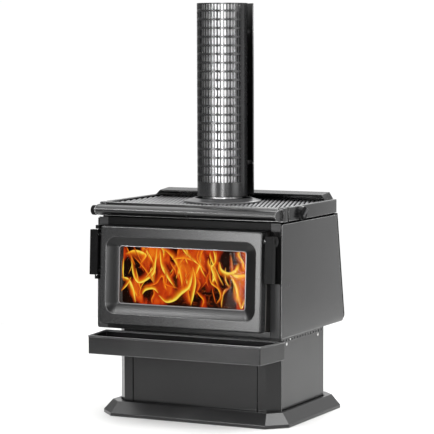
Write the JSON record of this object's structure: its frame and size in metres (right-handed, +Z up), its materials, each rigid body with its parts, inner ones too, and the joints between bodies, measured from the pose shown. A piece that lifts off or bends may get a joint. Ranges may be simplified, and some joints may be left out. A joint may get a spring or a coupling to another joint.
{
  "type": "wood burning stove",
  "caption": "Freestanding wood burning convection stove with glazed leaning door, ash shelf, pedestal and guarded flue.",
  "frame": {"origin": "on the floor, under the flue axis, in the middle of the stove's width", "axes": "+Z up along the flue, -Y out of the door's front, +X to the side that carries the door handle and the fan knob"},
  "size_m": [0.7955, 0.711, 1.533],
  "materials": {
    "charcoal_sheet": "satin",
    "black_sheet": "satin",
    "cast_iron": "satin",
    "firebox_steel": "matte",
    "stainless": "satin",
    "fan_aluminium": "satin",
    "ceramic_glass": "gloss",
    "rope": "matte",
    "firebrick": "matte",
    "phenolic": "gloss"
  },
  "bodies": {
    "stove": {"base_plate": "black_sheet", "plinth_skirt": "charcoal_sheet", "pedestal_side_right": "charcoal_sheet", "pedestal_side_left": "charcoal_sheet", "pedestal_corner_right": "charcoal_sheet", "pedestal_corner_left": "charcoal_sheet", "pedestal_front": "charcoal_sheet", "pedestal_back": "black_sheet", "ash_shelf": "charcoal_sheet", "casing_floor": "black_sheet", "casing_side_right": "charcoal_sheet", "casing_side_left": "charcoal_sheet", "casing_back": "black_sheet", "corner_plate_right": "charcoal_sheet", "corner_plate_left": "charcoal_sheet", "fascia_upper": "charcoal_sheet", "fascia_lower": "charcoal_sheet", "top_frame": "charcoal_sheet", "hob_grille": "charcoal_sheet", "front_rail": "charcoal_sheet", "rail_end_right": "charcoal_sheet", "rail_end_left": "charcoal_sheet", "rear_air_hood": "charcoal_sheet", "flue_collar": "cast_iron", "flue_spigot": "cast_iron", "flue_pipe": "stainless", "flue_guard": "black_sheet", "flue_shield": "black_sheet", "flue_spacer": "stainless", "firebox_front": "cast_iron", "firebox_side_right": "firebox_steel", "firebox_side_left": "firebox_steel", "firebox_back": "firebox_steel", "firebox_floor": "firebox_steel", "firebox_top": "firebox_steel", "brick_side_right": "firebrick", "brick_side_left": "firebrick", "brick_back": "firebrick", "brick_floor": "firebrick", "baffle_plate": "firebox_steel", "log_retainer": "firebox_steel", "fan_housing": "black_sheet", "fan_motor": "firebox_steel", "cord_gland": "phenolic", "hinge_lug_top": "cast_iron", "hinge_lug_bottom": "cast_iron", "hinge_pin": "stainless", "latch_keeper": "cast_iron", "fan_switch": "phenolic"},
    "door": {"door_frame": "cast_iron", "door_glass": "ceramic_glass", "glass_retainer": "firebox_steel", "door_rope_seal": "rope", "hinge_bar": "cast_iron"},
    "handle": {"handle_lever": "cast_iron", "handle_shaft": "stainless"},
    "fan_dial": {"fan_knob": "phenolic"},
    "air_pull": {"air_control": "phenolic", "air_slide": "firebox_steel"},
    "fan_rotor": {"fan_wheel": "fan_aluminium"}
  },
  "joints": [
    {"name": "door_swing", "type": "hinge", "parent": "stove", "child": "door", "pos_m": [-0.357, -0.32784, 0.53393], "axis": [0, -0.0506, -0.9987], "range_deg": [0, 100]},
    {"name": "handle_lift", "type": "hinge", "parent": "door", "child": "handle", "pos_m": [0.357, -0.32406, 0.68153], "axis": [-1, 0, 0], "range_deg": [0, 55]},
    {"name": "fan_knob_turn", "type": "hinge", "parent": "stove", "child": "fan_dial", "pos_m": [0.39, -0.13, 0.771], "axis": [1, 0, 0], "range_deg": [0, 270]},
    {"name": "air_control_pull", "type": "slide", "parent": "stove", "child": "air_pull", "axis": [-1, 0, 0], "range_m": [0, 0.03]},
    {"name": "fan_spin", "type": "hinge", "parent": "stove", "child": "fan_rotor", "pos_m": [0, 0.238, 0.25], "axis": [1, 0, 0], "continuous": true}
  ]
}
